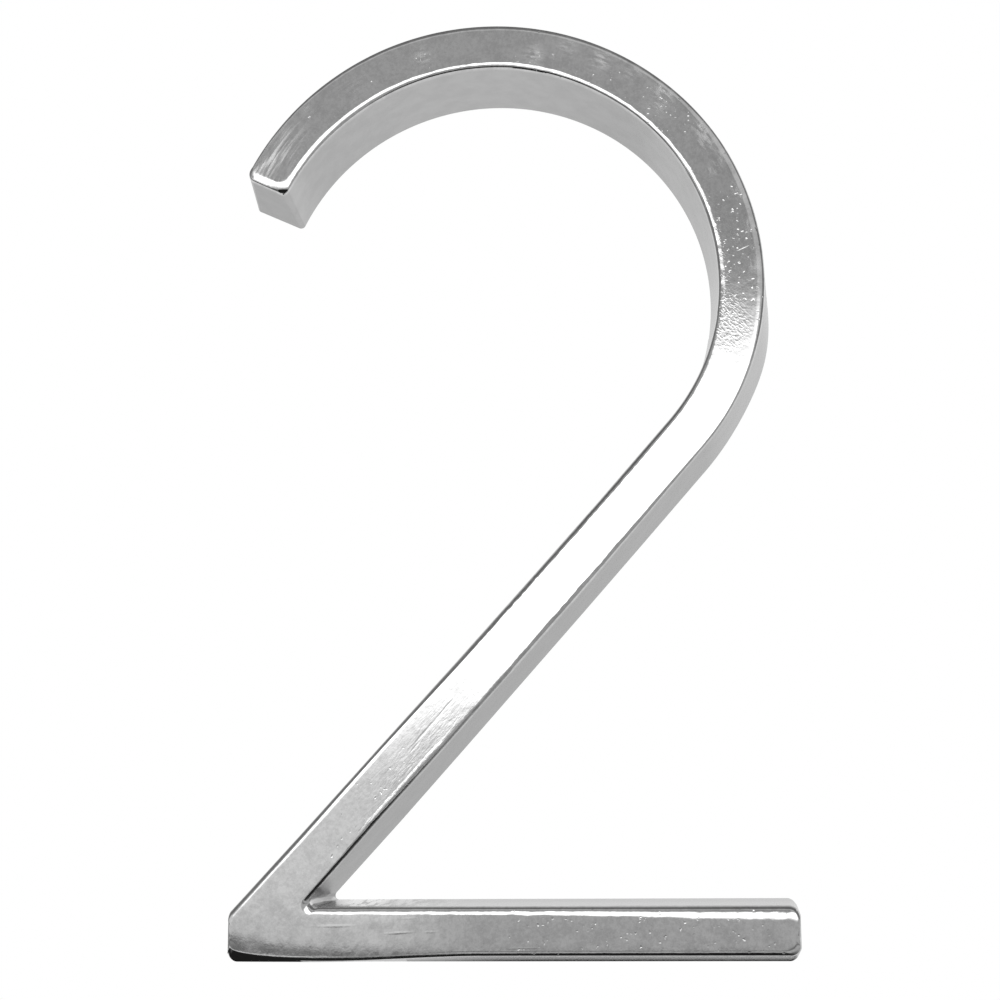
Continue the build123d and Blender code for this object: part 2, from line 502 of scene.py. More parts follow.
# Distance along the stroke and across it, for marks that follow the polishing
def strokeAt(place):
    arm = place - bowlCentre
    angle = angleOf(arm)
    pastLeft = angle < -150  # the angle starts again on the left of the bowl
    if angle > figure["shoulderStart"] or pastLeft:
        swing = math.radians(figure["bowlEnd"] - angle - (360 if pastLeft else 0))
        return Vector((swing * figure["bowlRadius"], arm.length - figure["bowlRadius"]))
    onBowl = math.radians(figure["bowlEnd"] - figure["shoulderStart"]) * figure["bowlRadius"]
    arm = place - shoulderCentre
    angle = angleOf(arm)
    if -figure["rightLean"] < angle <= 0:
        bend = math.radians(figure["shoulderStart"] - angle) * figure["shoulderRadius"]
        return Vector((onBowl + bend, arm.length - figure["shoulderRadius"]))
    lean = math.radians(figure["rightLean"])
    onShoulder = (math.radians(figure["shoulderStart"]) + lean) * figure["shoulderRadius"]
    outward = Vector((math.cos(lean), -math.sin(lean)))
    downward = Vector((-math.sin(lean), -math.cos(lean)))
    return Vector((onBowl + onShoulder + arm.dot(downward), arm.dot(outward) - figure["shoulderRadius"]))


print("stage: plan mesh")
vertices, rows, triangles = [], [], []
for outline, pitch, holes, isBack in ((face, 0.75, (), False), (ground, 2.5, mouths, True)):
    places, filled, origins, fixed = fillOutline(outline, pitch, holes)
    first = len(vertices)
    depth = 0.0 if isBack else figure["depth"]
    for place, origin in zip(places, origins):
        vertices.append((place.x * mm, -depth * mm, place.y * mm))
        rows.append((place, origin if origin < fixed and not isBack else None, isBack))
    for triangle in filled:
        a, b, c = (places[k] for k in triangle)
        clockwise = (b - a).x * (c - a).y - (b - a).y * (c - a).x < 0
        turned = triangle if clockwise == isBack else reversed(triangle)
        triangles.append(tuple(first + k for k in turned))
plan = bpy.data.meshes.new("figurePlan")
plan.from_pydata(vertices, [], triangles)


def store(name, kind, values):
    field = "vector" if kind == "FLOAT_VECTOR" else "value"
    layer = plan.attributes.new(name, kind, "POINT")
    layer.data.foreach_set(field, numpy.array(values, numpy.float32).ravel())


def flat(place):
    return (place.x * mm, 0.0, place.y * mm)


# The values of the face's edge points, and one value for all the other points
def onEdge(values, elsewhere):
    return [elsewhere if k is None else values[k] for _, k, _ in rows]


rollWidths = []
for k, point in enumerate(face):
    room = (point - sharpFace[k]).length
    tightShare = 1 - math.sin(rollAngles[k])
    tightRounds[k] = min(tightRounds[k], 0.92 * room / tightShare)
    rollWidths.append(room - tightRounds[k] * tightShare)
nowhere = (0, 0, 0)
store("facePoint", "FLOAT_VECTOR", [flat(place) for place, _, _ in rows])
store("wallPoint", "FLOAT_VECTOR", onEdge([flat(point) for point in sharpFace], nowhere))
store("wallStep", "FLOAT_VECTOR", onEdge([flat(b - a) for a, b in zip(sharpFace, rim)], nowhere))
store("stroke", "FLOAT_VECTOR", [flat(strokeAt(place)) for place, _, _ in rows])
store("tightRound", "FLOAT", onEdge([radius * mm for radius in tightRounds], mm))
store("rollWidth", "FLOAT", onEdge([width * mm for width in rollWidths], mm))
store("rollAngle", "FLOAT", onEdge(rollAngles, 0.2))
store("atBack", "FLOAT", [float(isBack) for _, _, isBack in rows])
for kind in wear:
    store(kind, "FLOAT", [0.0 if isBack else wearAt(kind, place) for place, _, isBack in rows])


print("stage: geometry trees")


# A node group, with its inputs given by kind
def newTree(name, inputs, kind="GeometryNodeTree"):
    tree = bpy.data.node_groups.new(name, kind)
    if kind == "GeometryNodeTree":
        for way in ("OUTPUT", "INPUT"):
            tree.interface.new_socket("Geometry", in_out=way, socket_type="NodeSocketGeometry")
    for socketKind, labels in inputs.items():
        for label in labels:
            tree.interface.new_socket(label, in_out="INPUT", socket_type="NodeSocket" + socketKind)
    return tree, wires(tree, "NodeGroupInput"), tree.nodes.new("NodeGroupOutput").inputs


def attribute(tree, name, kind="FLOAT"):
    return wire(tree, "GeometryNodeInputNamedAttribute", {"Name": name}, "Attribute", data_type=kind)


def markGrowing(geometry, chosen):
    inputs = {"Geometry": geometry, "Name": "growing", "Value": chosen}
    return wire(geometry.tree, "GeometryNodeStoreNamedAttribute", inputs, data_type="BOOLEAN", domain="EDGE")


# Adds one ring of faces behind the open edge that is marked growing
ringInputs = {"Vector": ["Plan Place"], "Float": ["Depth Place"]}
ringTree, ringIn, ringOut = newTree("addRing", ringInputs)
growing = attribute(ringTree, "growing", "BOOLEAN")
edgeInputs = {"Mesh": ringIn["Geometry"], "Selection": growing, "Offset Scale": 0.0}
extruded = wires(ringTree, "GeometryNodeExtrudeMesh", edgeInputs, mode="EDGES")
planX, _, planZ = partsOf(ringIn["Plan Place"])
ringPlace = wire(ringTree, "ShaderNodeCombineXYZ", {"X": planX, "Y": ringIn["Depth Place"], "Z": planZ})
moveInputs = {"Geometry": extruded["Mesh"], "Selection": extruded["Top"], "Position": ringPlace}
placed = wire(ringTree, "GeometryNodeSetPosition", moveInputs)
plug(ringTree, markGrowing(placed, extruded["Top"]), ringOut["Geometry"])

# One tapped hole, opening towards +Y, about its own axis
boreInputs = {"Float": bore, "Int": boreSteps}
boreTree, boreIn, boreOut = newTree("tappedHole", boreInputs)
columns = boreIn["Segments"] + 1.0
gridInputs = {"Size X": 1.0, "Size Y": 1.0, "Vertices X": columns, "Vertices Y": boreIn["Rows"]}
grid = wire(boreTree, "GeometryNodeMeshGrid", gridInputs)
gridX, gridY, _ = partsOf(wire(boreTree, "GeometryNodeInputPosition"))
turnShare = gridX + 0.5
lastRow = boreIn["Rows"] - 1.0
row = ((gridY + 0.5) * lastRow).calc("ROUND")
threadRow = (row - 1.0) / (lastRow - 2.0)
threadDepth = threadRow * (boreIn["Depth"] - boreIn["Countersink"]) + boreIn["Countersink"]
isMouth = row.calc("COMPARE", 0.0, 0.5)
isTip = row.calc("COMPARE", lastRow, 0.5)
isThread = 1.0 - isMouth - isTip
wave = (threadDepth / boreIn["Thread Pitch"] - turnShare).calc("PINGPONG", 0.5)
ridge = threadRow.spread(0.0, 0.08) * threadRow.spread(1.0, 0.9) * wave * 2.0
threadRadius = boreIn["Radius"] - ridge * boreIn["Thread Ridge"]
boreRadius = isThread * threadRadius + isMouth * (boreIn["Radius"] + boreIn["Countersink"])
boreDepth = isThread * threadDepth + isTip * (boreIn["Depth"] + boreIn["Drill Point"])
turnAngle = turnShare * math.tau
borePlace = wire(boreTree, "ShaderNodeCombineXYZ", {
    "X": turnAngle.calc("COSINE") * boreRadius,
    "Y": boreDepth * -1.0,
    "Z": turnAngle.calc("SINE") * boreRadius,
})
rolled = wire(boreTree, "GeometryNodeSetPosition", {"Geometry": grid, "Position": borePlace})
plug(boreTree, rolled, boreOut["Geometry"])

# The whole figure: rings from the edge of the face round to the ground back, and
# a tapped hole in each mouth
bodyTree, bodyIn, bodyOut = newTree("figureBody", {
    "Float": [
        "Depth", "Back Break", "Lean Run", "Wall Tilt", "Holding Ring", "Stud Spacing", "Crease Angle",
        *["Hole " + name for name in bore],
    ],
    "Int": ["Roll Rings", "Round Rings", *["Hole " + name for name in boreSteps]],
    "Material": ["Chrome", "Tapped Metal"],
})
facePoint = attribute(bodyTree, "facePoint", "FLOAT_VECTOR")
wallPoint = attribute(bodyTree, "wallPoint", "FLOAT_VECTOR")
wallStep = attribute(bodyTree, "wallStep", "FLOAT_VECTOR")
tight = attribute(bodyTree, "tightRound")
rollWidth = attribute(bodyTree, "rollWidth")
rollAngle = attribute(bodyTree, "rollAngle")
openEdge = wire(bodyTree, "GeometryNodeInputMeshEdgeNeighbors").calc("COMPARE", 1.0, 0.1)
atFront = 1.0 - attribute(bodyTree, "atBack")

repeatIn = bodyTree.nodes.new("GeometryNodeRepeatInput")
repeatOut = bodyTree.nodes.new("GeometryNodeRepeatOutput")
repeatIn.pair_with_output(repeatOut)
plug(bodyTree, bodyIn["Roll Rings"] + bodyIn["Round Rings"], repeatIn.inputs["Iterations"])
started = markGrowing(bodyIn["Geometry"], openEdge * atFront)
plug(bodyTree, started, repeatIn.inputs["Geometry"])
ringNumber = Wire(bodyTree, repeatIn.outputs["Iteration"]) + 1.0
rollShare = (ringNumber / bodyIn["Roll Rings"]).calc("MINIMUM", 1.0)
roundShare = ((ringNumber - bodyIn["Roll Rings"]) / bodyIn["Round Rings"]).calc("MAXIMUM", 0.0)
rollTilt = rollAngle * rollShare
tilt = (bodyIn["Wall Tilt"] - rollAngle) * roundShare + rollTilt
rollScale = rollWidth / rollAngle.calc("SINE")


# How far a place on the rounds lies below the face, and outwards from its edge
def bandPlace(rollTilt, tilt):
    cosRoll, sinRoll = rollTilt.calc("COSINE"), rollTilt.calc("SINE")
    below = tight * (cosRoll - tilt.calc("COSINE")) + rollScale * (1.0 - cosRoll)
    outwards = tight * (tilt.calc("SINE") - sinRoll) + rollScale * sinRoll
    return below, outwards


def vectorCalc(operation, first, second):
    spot = "Scale" if operation == "SCALE" else 1
    return wire(bodyTree, "ShaderNodeVectorMath", {0: first, spot: second}, operation=operation)


def moved(start, step, share):
    return vectorCalc("ADD", start, vectorCalc("SCALE", step, share))


def ringAt(geometry, planPlace, below):
    inputs = {"Geometry": geometry, "Plan Place": planPlace, "Depth Place": below - bodyIn["Depth"]}
    return wire(bodyTree, "GeometryNodeGroup", inputs, node_tree=ringTree)


below, outwards = bandPlace(rollTilt, tilt)
wallBelow, wallOutwards = bandPlace(rollAngle, bodyIn["Wall Tilt"])
wallDepth = bodyIn["Depth"] - bodyIn["Back Break"]
edgeStep = vectorCalc("SUBTRACT", moved(wallPoint, wallStep, wallBelow / wallDepth), facePoint)
bandPlan = moved(facePoint, edgeStep, outwards / wallOutwards)
grown = ringAt(Wire(bodyTree, repeatIn.outputs["Geometry"]), bandPlan, below)
plug(bodyTree, grown, repeatOut.inputs["Geometry"])

walls = Wire(bodyTree, repeatOut.outputs["Geometry"])
underEdge = wallBelow + bodyIn["Holding Ring"]
aboveRim = wallDepth - bodyIn["Holding Ring"]
for ringBelow in (underEdge, wallDepth * 0.5, aboveRim, wallDepth):
    walls = ringAt(walls, moved(wallPoint, wallStep, ringBelow / wallDepth), ringBelow)
breakShare = 1.0 - bodyIn["Back Break"] / bodyIn["Lean Run"]
walls = ringAt(walls, moved(wallPoint, wallStep, breakShare), bodyIn["Depth"])
outside = wire(bodyTree, "GeometryNodeSetMaterial", {"Geometry": walls, "Material": bodyIn["Chrome"]})

holeInputs = {name: bodyIn["Hole " + name] for name in [*bore, *boreSteps]}
hole = wire(bodyTree, "GeometryNodeGroup", holeInputs, node_tree=boreTree)
tapped = wire(bodyTree, "GeometryNodeSetMaterial", {"Geometry": hole, "Material": bodyIn["Tapped Metal"]})
upperStud = wire(bodyTree, "ShaderNodeCombineXYZ", {"Z": bodyIn["Stud Spacing"] * 0.5})
studStep = wire(bodyTree, "ShaderNodeCombineXYZ", {"Z": bodyIn["Stud Spacing"] * -1.0})
studInputs = {"Count": 2, "Start Location": upperStud, "Offset": studStep}
studPoints = wire(bodyTree, "GeometryNodeMeshLine", studInputs)
holes = wire(bodyTree, "GeometryNodeInstanceOnPoints", {"Points": studPoints, "Instance": tapped})
realHoles = wire(bodyTree, "GeometryNodeRealizeInstances", {"Geometry": holes})
joined = bodyTree.nodes.new("GeometryNodeJoinGeometry")
for section in (outside, realHoles):
    plug(bodyTree, section, joined.inputs[0])
mergeInputs = {"Geometry": Wire(bodyTree, joined.outputs[0]), "Distance": 2e-6}
merged = wire(bodyTree, "GeometryNodeMergeByDistance", mergeInputs)
smooth = wire(bodyTree, "GeometryNodeSetShadeSmooth", {"Geometry": merged, "Shade Smooth": True})
edgeAngle = wire(bodyTree, "GeometryNodeInputMeshEdgeAngle", output="Unsigned Angle")
sharp = edgeAngle.calc("GREATER_THAN", bodyIn["Crease Angle"])
creaseInputs = {"Geometry": smooth, "Selection": sharp, "Shade Smooth": False}
creased = wire(bodyTree, "GeometryNodeSetShadeSmooth", creaseInputs, domain="EDGE")
plug(bodyTree, creased, bodyOut["Geometry"])


print("stage: materials")


def mapped(place, scale):
    return wire(place.tree, "ShaderNodeMapping", {"Vector": place, "Scale": scale})


def objectMm(tree):
    return mapped(wire(tree, "ShaderNodeTexCoord", output="Object"), (1000, 1000, 1000))


def noiseAt(place, scale=1.0, detail=2.0, roughness=0.5, output=0):
    inputs = {"Vector": place, "Scale": scale, "Detail": detail, "Roughness": roughness}
    return wire(place.tree, "ShaderNodeTexNoise", inputs, output)


# Small hammered waves and pores of a plated casting, as a height in mm, and its clouds
grainSizes = ["Wave Size", "Wave Height", "Fine Size", "Fine Height"]
grainTree, grainIn, grainOut = newTree("platedGrain", {"Float": grainSizes}, "ShaderNodeTree")
for name in ("Height", "Cloud"):
    grainTree.interface.new_socket(name, in_out="OUTPUT", socket_type="NodeSocketFloat")
inMm = objectMm(grainTree)
waves = noiseAt(inMm, calc(grainTree, "DIVIDE", 1.0, grainIn["Wave Size"])) * grainIn["Wave Height"]
fine = noiseAt(inMm, calc(grainTree, "DIVIDE", 1.0, grainIn["Fine Size"])) * grainIn["Fine Height"]
plug(grainTree, waves + fine, grainOut["Height"])
plug(grainTree, noiseAt(inMm, 1 / 2.6, 3.0, 0.6), grainOut["Cloud"])


def newMaterial(name, shaderKind="ShaderNodeBsdfPrincipled"):
    material = bpy.data.materials.new(name)
    material.use_nodes = True
    tree = material.node_tree
    tree.nodes.clear()
    shader = tree.nodes.new(shaderKind)
    output = tree.nodes.new("ShaderNodeOutputMaterial")
    tree.links.new(shader.outputs[0], output.inputs["Surface"])
    return material, tree, shader


def grainOf(tree, sizes):
    grain = wires(tree, "ShaderNodeGroup", dict(zip(grainSizes, sizes)), node_tree=grainTree)
    return grain["Height"], grain["Cloud"]


def finishMetal(tree, shader, tone, rough, height):
    bump = wire(tree, "ShaderNodeBump", {"Strength": 1.0, "Distance": 0.001, "Height": height})
    inputs = {"Base Color": tone, "Roughness": rough, "Normal": bump, "Metallic": 1.0}
    for name, value in inputs.items():
        plug(tree, value, shader.inputs[name])


# Lengths and heights in mm
chromeLook = {
    "faceColour": 0.55,
    "wallColour": 0.475,
    "grazingTint": 0.62,  # keeps the leaning walls from lighting up at a grazing view
    "groundColour": 0.42,
    "faceRoughness": 0.065,
    "wallRoughness": 0.22,
    "groundRoughness": 0.36,
    "polish": (-11.9, -12.5),  # where the buffing of the front edge starts and is full
    "grain": (1.3, 0.006, 0.22, 0.0012),
    "pitSize": 0.6,
    "pitHeight": 0.014,
    "pitChance": 0.36,
    "pitWidths": (0.24, 0.5),
    "streakHeight": 0.012,
    "gritHeight": 0.0058,
    "scratchHeight": 0.0035,
    "grindHeight": 0.008,
    "wallHeight": 0.003,
    # The slump: its upper line, how much higher that is on the left, how fast this fades,
    # then the bend in 1/mm and how far down it goes on bending
    "slump": {"top": -59.75, "left": -31.0, "rise": 1.85, "fade": 6.0, "bend": 0.0104, "reach": 1.85},
    # The lip, across the diagonal's lower right edge, and its slope along the diagonal
    "lip": {"from": 2.12, "to": 2.45, "height": 0.02, "middle": -36.0, "slope": -0.015},
    # Scratches: x, z, half length, half width, slope in degrees, and depth
    "scratches": [
        (-19.3, -57.55, 3.6, 0.28, 1, 1.0),
        (-11.2, -58.4, 2.8, 0.24, 3, 1.0),
        (-7.2, -58.3, 1.4, 0.22, 2, 0.7),
        (-10.0, -56.65, 1.6, 0.22, 3, 0.7),
        (33.7, 29.1, 1.4, 0.12, 24, 1.2),
        (4.0, -60.3, 2.6, 0.15, 1, 0.6),
        (-8.1, -33.6, 4.2, 0.26, 48.3, -1.5),
        (-5.3, -30.4, 2.4, 0.22, 48.3, -1.4),
        (-9.3, -35.4, 1.6, 0.2, 50.0, -1.2),
    ],
}
chrome, tree, shader = newMaterial("polishedChrome")
millimetres = objectMm(tree)
acrossMm, depthMm, upMm = partsOf(millimetres)
polished = depthMm.spread(*chromeLook["polish"])
groundMask = depthMm.spread(-0.08, -0.03)
grainHeight, cloud = grainOf(tree, chromeLook["grain"])


def masked(name):
    return wire(tree, "ShaderNodeAttribute", output="Fac", attribute_name=name)


# Pits: small craters under the plating, bent out of round by a fine noise
bend = noiseAt(millimetres, 2.4, 1.0, output="Color")
bent = blend(tree, 0.35, millimetres, bend, "LINEAR_LIGHT")
pitCells = wires(tree, "ShaderNodeTexVoronoi", {"Vector": bent, "Scale": 1 / chromeLook["pitSize"]})
pitChance = wires(tree, "ShaderNodeSeparateColor", {"Color": pitCells["Color"]})
pitPresent = pitChance["Red"].calc("LESS_THAN", masked("pits") * chromeLook["pitChance"])
pitWidth = pitChance["Green"].spread(0.0, 1.0, *chromeLook["pitWidths"])
pitBowl = (pitCells["Distance"] / pitWidth).spread(1.0, 0.0)
pits = pitBowl * pitPresent * polished * chromeLook["pitHeight"]

# Streaks along the stroke, left by the polishing belt
strokePlace = wire(tree, "ShaderNodeAttribute", output="Vector", attribute_name="stroke")
streakNoise = noiseAt(mapped(strokePlace, (800, 1000, 3200)), 1.0, 3.0, 0.6)
streaks = streakNoise * masked("streaks") * polished * chromeLook["streakHeight"]

# Single scratches, each a narrow ellipse in the face
scratched = 0.0
for spotX, spotZ, halfLength, halfWidth, slope, deep in chromeLook["scratches"]:
    ellipse = {
        "Vector": millimetres,
        "Location": (spotX, 0, spotZ),
        "Rotation": (0, -math.radians(slope), 0),
        "Scale": (halfLength, 1000, halfWidth),
    }
    own = wire(tree, "ShaderNodeMapping", ellipse, vector_type="TEXTURE")
    reach = wire(tree, "ShaderNodeVectorMath", {0: own}, "Value", operation="LENGTH")
    scratched = reach.spread(1.0, 0.0, 0.0, deep) + scratched
scuffs = scratched * polished * chromeLook["scratchHeight"]

# Grit: short slanting scallops left in the polish
slanting = {"Vector": millimetres, "Rotation": (0, math.radians(42), 0), "Scale": (0.5, 1.0, 0.28)}
gritPlace = wire(tree, "ShaderNodeMapping", slanting, vector_type="TEXTURE")
gritWaves = noiseAt(gritPlace, 1.0, 1.0).spread(0.44, 0.66, 0.0, chromeLook["gritHeight"])
grit = gritWaves * masked("grit") * polished

# The lip: a burr that the polishing pushed up beside the diagonal's lower right edge
lip = chromeLook["lip"]
_, _, crossStroke = partsOf(strokePlace)
lipPlace = crossStroke * 1000.0 + (upMm - lip["middle"]) * lip["slope"] + (streakNoise - 0.5) * 0.5
burr = lipPlace.spread(lip["from"], lip["to"], 0.0, lip["height"])
burr = burr * upMm.spread(-47, -43) * upMm.spread(-33.5, -36.5) * polished

# Straight marks of the grinding belt on the back, and the fine grain of the walls
grindNoise = noiseAt(mapped(millimetres, (9.0, 1.0, 0.12)), 1.0, 4.0)
grinding = grindNoise * groundMask * chromeLook["grindHeight"]
wallGrain = noiseAt(millimetres, 3.0, 3.0) * (1.0 - polished) * chromeLook["wallHeight"]

# The face falls away gently above the worn lower left corner
slump = chromeLook["slump"]
slumpTop = ((acrossMm - slump["left"]) / -slump["fade"]).calc("EXPONENT") * slump["rise"] + slump["top"]
slumpReach = (slumpTop - upMm).calc("MAXIMUM", 0.0)
bending = slumpReach.calc("MINIMUM", slump["reach"])
slumped = bending * (slumpReach - bending * 0.5) * -slump["bend"] * polished * acrossMm.spread(-2, -14)
height = grainHeight - pits + slumped + streaks + scuffs + grit + burr + grinding + wallGrain


# Tones of the face and the walls, as shares of their colours
def faceGrey(share):
    return grey(chromeLook["faceColour"] * share)


def wallGrey(share):
    return grey(chromeLook["wallColour"] * share)


mottle = noiseAt(millimetres, 2.2, 3.0, 0.7) * 0.55 + cloud * 0.45
faceTone = blend(tree, mottle.spread(0.36, 0.64), faceGrey(1.12), faceGrey(0.9))
wallTone = blend(tree, cloud.spread(0.3, 0.7), wallGrey(1.03), wallGrey(0.96))

# Brushed streaks by the end of the bowl, and hazy patches along its outer edge
brushNoise = noiseAt(mapped(strokePlace, (170, 1000, 2300)))
smearNoise = noiseAt(mapped(strokePlace, (420, 1000, 1500)), 1.0, 4.0, 0.65)
haze = masked("haze") * smearNoise.spread(0.4, 0.6)
haze = haze.calc("MAXIMUM", masked("brush") * brushNoise.spread(0.38, 0.66))
faceTone = blend(tree, haze, faceTone, faceGrey(1.4))
faceTone = blend(tree, scratched.calc("MINIMUM", 1.0) * 0.5, faceTone, faceGrey(1.35))

# The base bar's upper wall: painted reflection, lighter near the face, with painted light and dark reflection
# patches and bright painted glints on its left
onWall = upMm.spread(-56.6, -56.0) * upMm.spread(-53.6, -54.2)
paintedReflectionNoise = noiseAt(mapped(millimetres, (1.05, 0.12, 1.05)), 1.0, 3.0, 0.65)
# Painted reflection: light and dark patches in the wall's tone, standing in for the reflections of an uneven
# wall
paintedReflectionTone = blend(tree, paintedReflectionNoise.spread(0.42, 0.6), wallGrey(0.62), wallGrey(1.45))
paintedReflectionMask = onWall * acrossMm.spread(-24, -20) * acrossMm.spread(-2, -12)
# Painted glints: bright spots in the wall's tone
paintedGlintMask = onWall * acrossMm.spread(-20.5, -18.5) * acrossMm.spread(-13, -15.5) * paintedReflectionNoise.spread(0.45, 0.52)
# Painted reflection: the wall's tone is lighter towards the face
wallTone = blend(tree, onWall * depthMm.spread(-3, -10), wallTone, wallGrey(1.22))
wallTone = blend(tree, paintedReflectionMask, wallTone, paintedReflectionTone)
wallTone = blend(tree, paintedGlintMask, wallTone, wallGrey(2.1))

tone = blend(tree, polished, wallTone, faceTone)
tone = blend(tree, groundMask, tone, grey(chromeLook["groundColour"]))
faceRough = cloud.spread(0.35, 0.75, -0.02, 0.04) + haze * 0.2 + chromeLook["faceRoughness"]
rough = towards(chromeLook["wallRoughness"], polished, faceRough)
rough = towards(rough, groundMask, chromeLook["groundRoughness"])
finishMetal(tree, shader, tone, rough, height)
shader.inputs["Specular Tint"].default_value = grey(chromeLook["grazingTint"])

tappedLook = {"grain": (0.6, 0.01, 0.12, 0.004), "light": (0.42, 0.41, 0.39, 1), "dark": (0.3, 0.3, 0.29, 1)}
tappedMetal, tree, shader = newMaterial("tappedMetal")
grainHeight, cloud = grainOf(tree, tappedLook["grain"])
tone = blend(tree, cloud, tappedLook["light"], tappedLook["dark"])
finishMetal(tree, shader, tone, cloud.spread(0.3, 0.7, 0.34, 0.46), grainHeight)


print("stage: figure")
figureTwo = bpy.data.objects.new("figureTwo", plan)
scene.collection.objects.link(figureTwo)
modifier = figureTwo.modifiers.new("figureBody", "NODES")
modifier.node_group = bodyTree
settings = {
    "Depth": figure["depth"] * mm,
    "Back Break": figure["backBreak"] * mm,
    "Lean Run": figure["leanRun"] * mm,
    "Wall Tilt": math.pi / 2 - math.atan(figure["leanRun"] / (figure["depth"] - figure["backBreak"])),
    "Roll Rings": 8,
    "Round Rings": 9,
    "Holding Ring": 0.05 * mm,
    "Stud Spacing": figure["studSpacing"] * mm,
    "Crease Angle": math.radians(28),
    "Chrome": chrome,
    "Tapped Metal": tappedMetal,
}
settings.update({"Hole " + name: length * mm for name, length in bore.items()})
settings.update({"Hole " + name: steps for name, steps in boreSteps.items()})
for item in bodyTree.interface.items_tree:
    if item.in_out == "INPUT" and item.name in settings:
        modifier[item.identifier] = settings[item.name]
bpy.context.view_layer.update()
made = bpy.data.meshes.new_from_object(figureTwo.evaluated_get(bpy.context.evaluated_depsgraph_get()))
figureTwo.modifiers.clear()
figureTwo.data = made
made.name = "figureTwo"
made.materials.pop(index=0)  # the plan's empty slot
helpers = ["facePoint", "wallPoint", "wallStep", "tightRound", "rollWidth", "rollAngle", "atBack", "growing"]
for name in helpers:
    if name in made.attributes:
        made.attributes.remove(made.attributes[name])
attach(figureTwo, "root")
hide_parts("figure_two")
print("figureTwo", len(made.vertices), "points", len(made.polygons), "faces", list(made.materials))


print("stage: studio")
# Levels of the cards that only reflections see, with their places in mm
studio = {
    "screenDistance": 1000,
    "cardSide": 1300,
    "screenFoot": -300,
    "lowCardHeight": -195,
    "windowLevel": 2.6,
    "windowSides": [(-470, -410), (420, 330)],  # where the window starts, and is full
    "windowFoot": (-16, 100),
    "windowHead": (338, 248),
    "headRise": 34,  # how much higher the window reaches on the left
    "greyLevel": 0.5,
    "rightLevel": 0.43,
    "haloLevel": 0.7,
    "edgeLevel": 0.26,
    "lowLeftLevel": 0.98,
    "lowLeftFoot": 0.78,
    "lowRightLevel": 0.57,
    "duskLevel": 0.2,  # the darker foot of the screen
    "lineLevel": 0.9,
    "lineGap": 0.34,
    "lineFaint": 0.56,
    "blackLevel": 0.02,
    "lowLeftGrey": 0.19,
    "lowRightGrey": 0.5,
    "ceilingLevels": (0.2, 0.8),
    "leftLevels": (0.27, 0.6),
    "rightLevels": (0.6, 0.3),
    "roomLevel": 0.55,
    "backLevel": 1.22,
    "floorDrop": 200,  # below the origin
    "floorReach": 6000,
}


def addCard(name, corners, material):
    mesh = bpy.data.meshes.new(name)
    mesh.from_pydata([Vector(corner) * mm for corner in corners], [], [(0, 1, 2, 3)])
    mesh.materials.append(material)
    card = bpy.data.objects.new(name, mesh)
    scene.collection.objects.link(card)
    return card


# A glowing card that only reflections see. light makes its level from places in mm.
def glowCard(name, glow, corners, light):
    material, tree, emission = newMaterial(glow, "ShaderNodeEmission")
    plug(tree, light(*partsOf(objectMm(tree))), emission.inputs["Strength"])
    card = addCard(name, corners, material)
    for rays in ("camera", "diffuse", "shadow", "transmission", "volume_scatter"):
        setattr(card, "visible_" + rays, False)


# The light line, which pauses left of the middle
def lineLight(across):
    line = across.spread(-205, -165, studio["lineLevel"], studio["lineGap"])
    return towards(line, across.spread(-140, -110), studio["lineFaint"])


def screenLight(across, _, up):
    # Above the window: grey, a little darker on the right, a light halo, then dark
    upper = towards(studio["greyLevel"], across.spread(30, 110), studio["rightLevel"])
    halo = up.spread(560, 620).calc("MAXIMUM", across.spread(140, 200))
    upper = towards(upper, halo, studio["haloLevel"])
    beside = across.spread(480, 560).calc("MAXIMUM", across.spread(-490, -590))
    upper = towards(upper, up.spread(790, 880).calc("MAXIMUM", beside), studio["edgeLevel"])
    # Below it: light on the left, grey on the right, dusk, then a thin light line
    lowLeft = towards(studio["lowLeftLevel"], up.spread(-62, -112), studio["lowLeftFoot"])
    lower = towards(lowLeft, across.spread(-165, -82), studio["lowRightLevel"])
    lower = towards(lower, up.spread(-112, -150), studio["duskLevel"])
    lower = towards(lower, up.spread(-163, -168), lineLight(across))
    ambient = towards(lower, up.spread(60, 180), upper)
    leftSide, rightSide = studio["windowSides"]
    headUp = up - across.spread(45, -20, 0.0, studio["headRise"])
    window = across.spread(*leftSide) * across.spread(*rightSide) * up.spread(*studio["windowFoot"])
    window = window * headUp.spread(*studio["windowHead"])
    return towards(ambient, window, studio["windowLevel"])


# Under the figure: black, grey at the sides, and by the screen the line's light goes on
def lowLight(across, deep, _):
    under = towards(studio["blackLevel"], across.spread(60, 260), studio["lowRightGrey"])
    under = towards(under, across.spread(-150, -230), studio["lowLeftGrey"])
    return towards(under, deep.spread(-690, -720), lineLight(across))


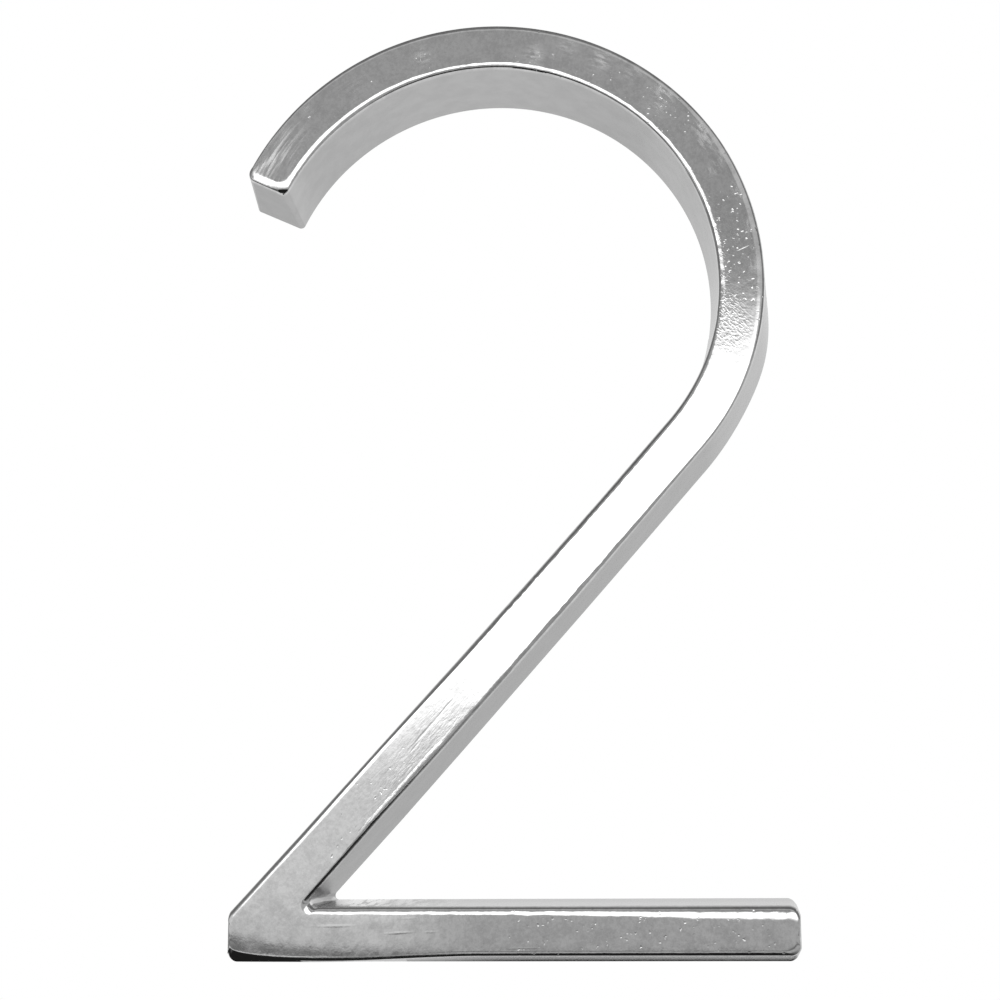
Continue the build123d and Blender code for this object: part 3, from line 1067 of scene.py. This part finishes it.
side, near = studio["cardSide"], -studio["screenDistance"]
foot, under = studio["screenFoot"], studio["lowCardHeight"]
black = studio["blackLevel"]
cards = {
    "screenCard": (
        "screenLight",
        [(-side, near, foot), (side, near, foot), (side, near, side), (-side, near, side)],
        screenLight,
    ),
    "ceilingFlag": (
        "ceilingFlag",
        [(-side, near, side), (side, near, side), (side, 1400, side), (-side, 1400, side)],
        lambda across, deep, up: deep.spread(-300, 900, *studio["ceilingLevels"]),
    ),
    "leftFlag": (
        "leftFlag",
        [(-side, near, foot), (-side, near, side), (-side, 1000, side), (-side, 1000, foot)],
        lambda across, deep, up: deep.spread(-350, 800, *studio["leftLevels"]),
    ),
    "rightFlag": (
        "rightFlag",
        [(side, near, foot), (side, -30, foot), (side, -30, side), (side, near, side)],
        lambda across, deep, up: up.spread(0, 200, *studio["rightLevels"]),
    ),
    "lowFlag": (
        "lowFlag",
        [(-side, near, under), (side, near, under), (side, -30, under), (-side, -30, under)],
        lowLight,
    ),
    # A small dark card under the worn lower left corner
    "cornerFlag": (
        "cornerFlag",
        [(-52, -22, -78), (-27, -22, -78), (-27, 60, -78), (-52, 60, -78)],
        lambda across, deep, up: black,
    ),
    # A card painted as the shadow in the gap behind the base bar's lower edge, which its underside mirrors;
    # grey on the left, black further right
    "gapShadowCard": (
        "paintedGapShadow",
        [(-12, 0.3, -62.6), (39.4, 0.3, -62.6), (39.4, 0.3, -63.65), (-12, 0.3, -63.65)],
        lambda across, deep, up: across.spread(-12, 4, 0.5, black),
    ),
}
for name, card in cards.items():
    glowCard(name, *card)


# Camera rays, and rays that a surface mirrors or lets through
def raysOf(tree):
    lightPath = wires(tree, "ShaderNodeLightPath")
    mirrored = lightPath["Is Glossy Ray"].calc("MAXIMUM", lightPath["Is Transmission Ray"])
    return lightPath["Is Camera Ray"], mirrored


# Pale floor, well below the figure: lit near it, plain white further out
floorMaterial, tree, shader = newMaterial("paleFloor")
shader.inputs["Base Color"].default_value = grey(0.86)
shader.inputs["Roughness"].default_value = 0.6
seen, mirrored = raysOf(tree)
floorPlace = wire(tree, "ShaderNodeTexCoord", output="Object")
floorReach = wire(tree, "ShaderNodeVectorMath", {0: floorPlace}, "Value", operation="LENGTH")
away = floorReach.spread(0.35, 1.1) * seen + floorReach.spread(0.05, 0.4, 0.6, 1.0) * mirrored
whiteOut = wire(tree, "ShaderNodeEmission", {"Strength": 1.0})
floorMix = wire(tree, "ShaderNodeMixShader", {0: away, 1: Wire(tree, shader.outputs[0]), 2: whiteOut})
floorOutput = next(node for node in tree.nodes if node.type == "OUTPUT_MATERIAL")
plug(tree, floorMix, floorOutput.inputs["Surface"])
far, drop = studio["floorReach"], -studio["floorDrop"]
floorCorners = [(-far, -far, drop), (far, -far, drop), (far, far, drop), (-far, far, drop)]
addCard("paleFloor", floorCorners, floorMaterial)

world = bpy.data.worlds.new("studioWorld")
scene.world = world
world.use_nodes = True
tree = world.node_tree
tree.nodes.clear()
seen, mirrored = raysOf(tree)
room = studio["roomLevel"]
worldLevel = seen * (1.0 - room) + room + mirrored * (studio["backLevel"] - room)
background = wire(tree, "ShaderNodeBackground", {"Color": grey(1.0), "Strength": worldLevel})
plug(tree, background, tree.nodes.new("ShaderNodeOutputWorld").inputs["Surface"])

softLamp = bpy.data.lights.new("softLamp", "AREA")
softLamp.shape = "RECTANGLE"
softLamp.size, softLamp.size_y = 0.9, 0.9
softLamp.energy = 9.0
lampObject = bpy.data.objects.new("softLamp", softLamp)
lampObject.location = (-0.5, -0.5, 1.1)
lampObject.rotation_euler = (-lampObject.location).to_track_quat("-Z", "Y").to_euler()
lampObject.visible_glossy = False
scene.collection.objects.link(lampObject)
